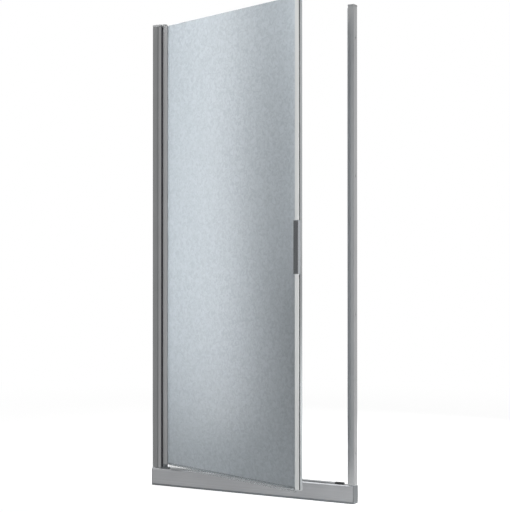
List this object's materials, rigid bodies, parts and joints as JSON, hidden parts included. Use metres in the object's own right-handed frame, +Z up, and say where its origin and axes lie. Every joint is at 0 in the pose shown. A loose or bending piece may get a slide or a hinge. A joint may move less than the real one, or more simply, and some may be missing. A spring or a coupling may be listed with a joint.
{
  "type": "shower door",
  "caption": "Pivot shower door: patterned glass leaf in slim aluminium uprights, hung at the left over a raised metal sill, with a block handle on its free edge.",
  "frame": {"origin": "middle of the sill's underside, on the middle plane of the closed leaf", "axes": "+X along the opening from the hinge side to the strike side, +Y into the shower, +Z up"},
  "size_m": [0.92, 0.3314, 1.917],
  "materials": {
    "wall_channel_aluminium": "satin anodised",
    "jamb_aluminium": "satin anodised",
    "stile_aluminium": "satin anodised",
    "closing_aluminium": "satin anodised",
    "sill_aluminium": "satin anodised",
    "threshold_aluminium": "satin anodised",
    "cap_zinc": "silver lacquer",
    "handle_chrome": "polished chrome",
    "stainless_steel": "turned",
    "dark_rubber": "matt",
    "grey_rubber": "matt",
    "pale_rubber": "matt",
    "sleeve_pvc": "extruded",
    "wiper_pvc": "clear extruded",
    "black_plastic": "fine moulded grain",
    "grey_plastic": "fine moulded grain",
    "pale_plastic": "fine moulded grain",
    "grey_nylon": "moulded",
    "ferrite": "bonded ferrite strip",
    "patterned_glass": "rolled pattern, toughened"
  },
  "bodies": {
    "frame": {"sill_rail": "sill_aluminium", "sill_end_cap_left": "grey_plastic", "sill_end_cap_right": "grey_plastic", "sill_base_seal": "grey_rubber", "threshold_bar": "threshold_aluminium", "threshold_end_block": "black_plastic", "left_wall_profile": "wall_channel_aluminium", "right_wall_profile": "wall_channel_aluminium", "left_jamb_profile": "jamb_aluminium", "strike_profile": "jamb_aluminium", "left_jamb_pad": "grey_rubber", "right_jamb_pad": "grey_rubber", "left_jamb_foot": "black_plastic", "right_jamb_foot": "black_plastic", "foot_screws": "stainless_steel", "hinge_gasket": "dark_rubber", "upper_pivot_bracket": "cap_zinc", "right_jamb_cap": "cap_zinc", "jamb_screws": "stainless_steel", "screw_covers": "grey_plastic", "lower_pivot_block": "grey_plastic", "lower_block_screws": "stainless_steel", "thrust_washer": "grey_nylon", "lower_pivot_pin": "stainless_steel", "upper_pivot_pin": "stainless_steel", "strike_magnet_sleeve": "sleeve_pvc", "strike_magnet_core": "ferrite"},
    "door": {"hinge_stile": "stile_aluminium", "lower_pivot_bush": "grey_nylon", "upper_pivot_bush": "grey_nylon", "stile_glazing_gasket": "pale_rubber", "door_glass": "patterned_glass", "closing_profile": "closing_aluminium", "closing_glazing_gasket": "pale_rubber", "closing_bottom_cap": "pale_plastic", "closing_top_cap": "pale_plastic", "door_magnet_sleeve": "sleeve_pvc", "door_magnet_core": "ferrite", "edge_seal": "dark_rubber", "handle": "handle_chrome", "handle_screws": "stainless_steel", "bottom_wiper": "wiper_pvc"}
  },
  "joints": [
    {"name": "door_swing", "type": "hinge", "parent": "frame", "child": "door", "pos_m": [-0.4089, 0, 0.9985], "axis": [0, 0, -1], "range_deg": [-20.8, 69.2]}
  ]
}
